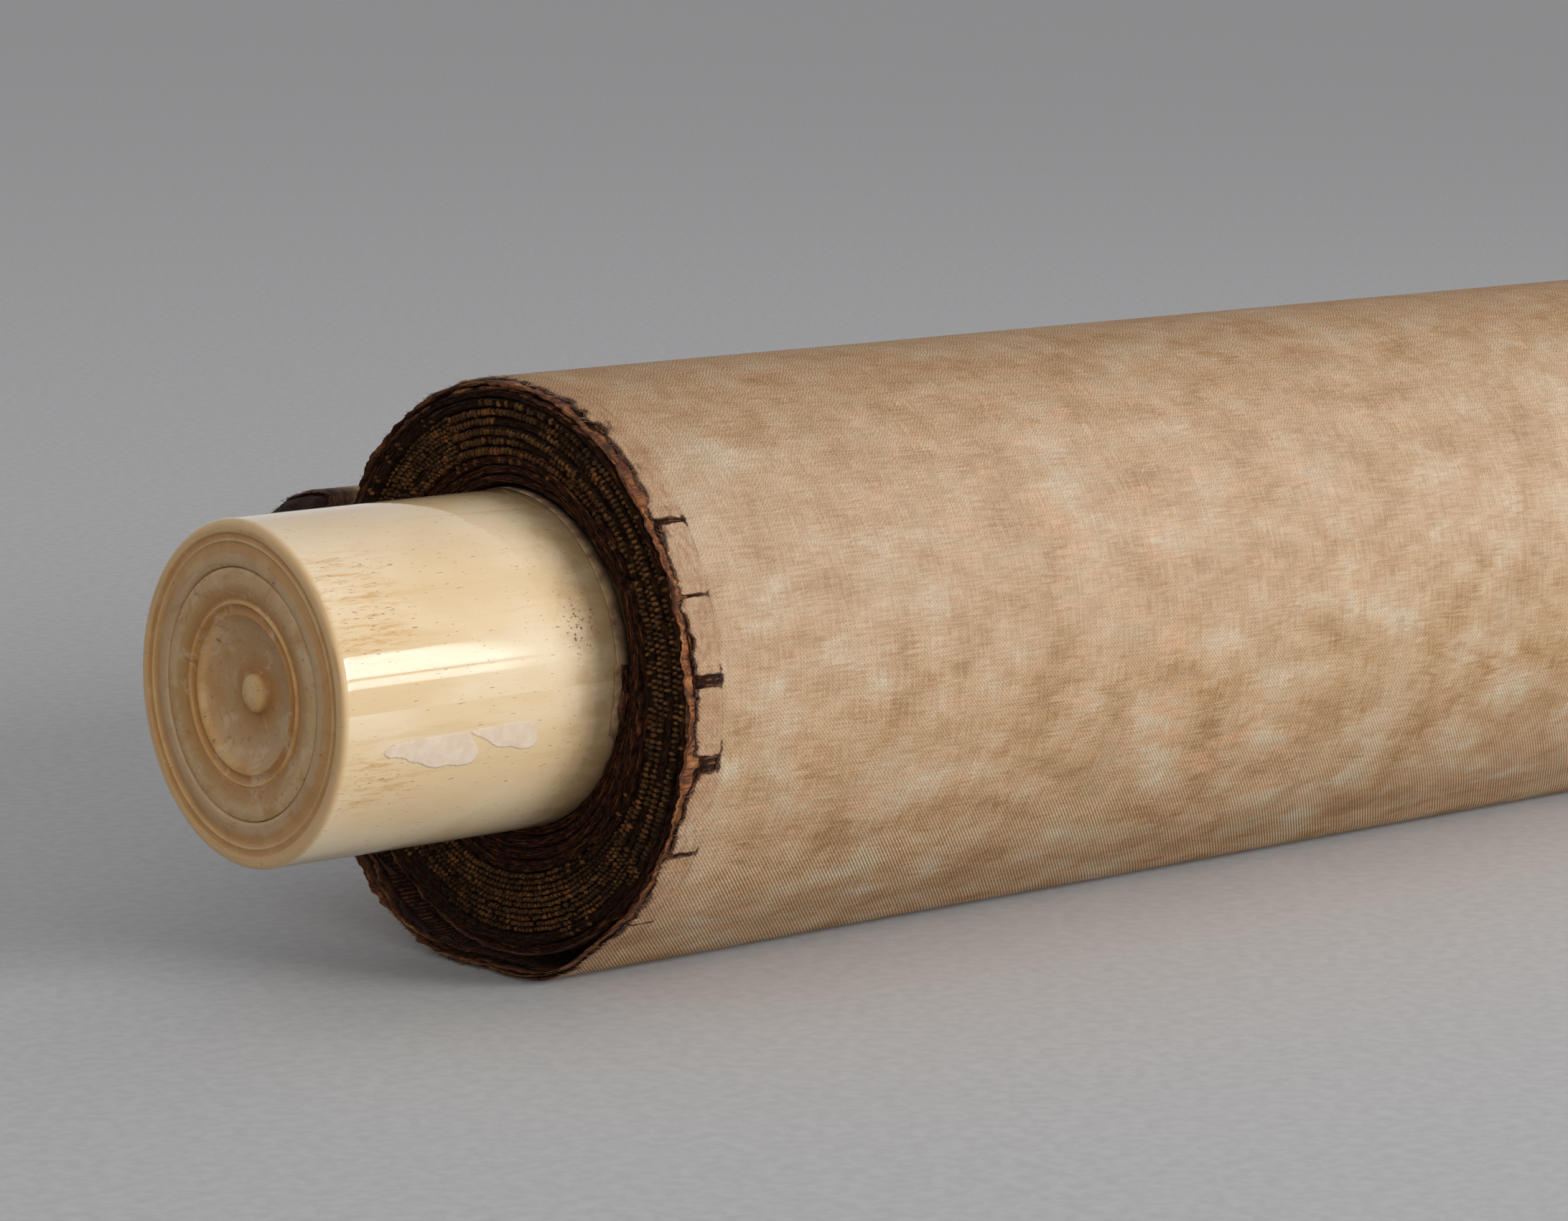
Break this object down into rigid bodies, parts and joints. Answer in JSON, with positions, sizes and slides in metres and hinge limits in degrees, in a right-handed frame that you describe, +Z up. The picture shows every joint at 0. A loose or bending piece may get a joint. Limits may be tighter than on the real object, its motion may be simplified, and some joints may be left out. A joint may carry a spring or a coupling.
{
  "type": "paper scroll",
  "caption": "Rolled silk and paper scroll on a wooden roller with turned bone knobs, its top stave in the loose outer turn, lying on a flat surface.",
  "frame": {"origin": "middle of the flat strip that the roll lies on, halfway between its two ends", "axes": "+X along the roll to the far knob, +Y to the back, where the stave is, +Z up"},
  "size_m": [0.5186, 0.0673, 0.0538],
  "materials": {
    "sheet": "matt, dark with age",
    "cover_silk": "plain woven silk, faint sheen",
    "roller_wood": "plain softwood",
    "stave_wood": "plain softwood",
    "bone": "polished",
    "bone_disc": "worn, half matt",
    "eyelet_brass": "dull"
  },
  "bodies": {
    "root": {"rolled_sheet": "sheet", "cover_silk": "cover_silk", "roller_rod": "roller_wood", "top_stave": "stave_wood", "knob_sleeves": "bone", "knob_plugs": "bone_disc", "eyelets": "eyelet_brass"}
  },
  "joints": []
}
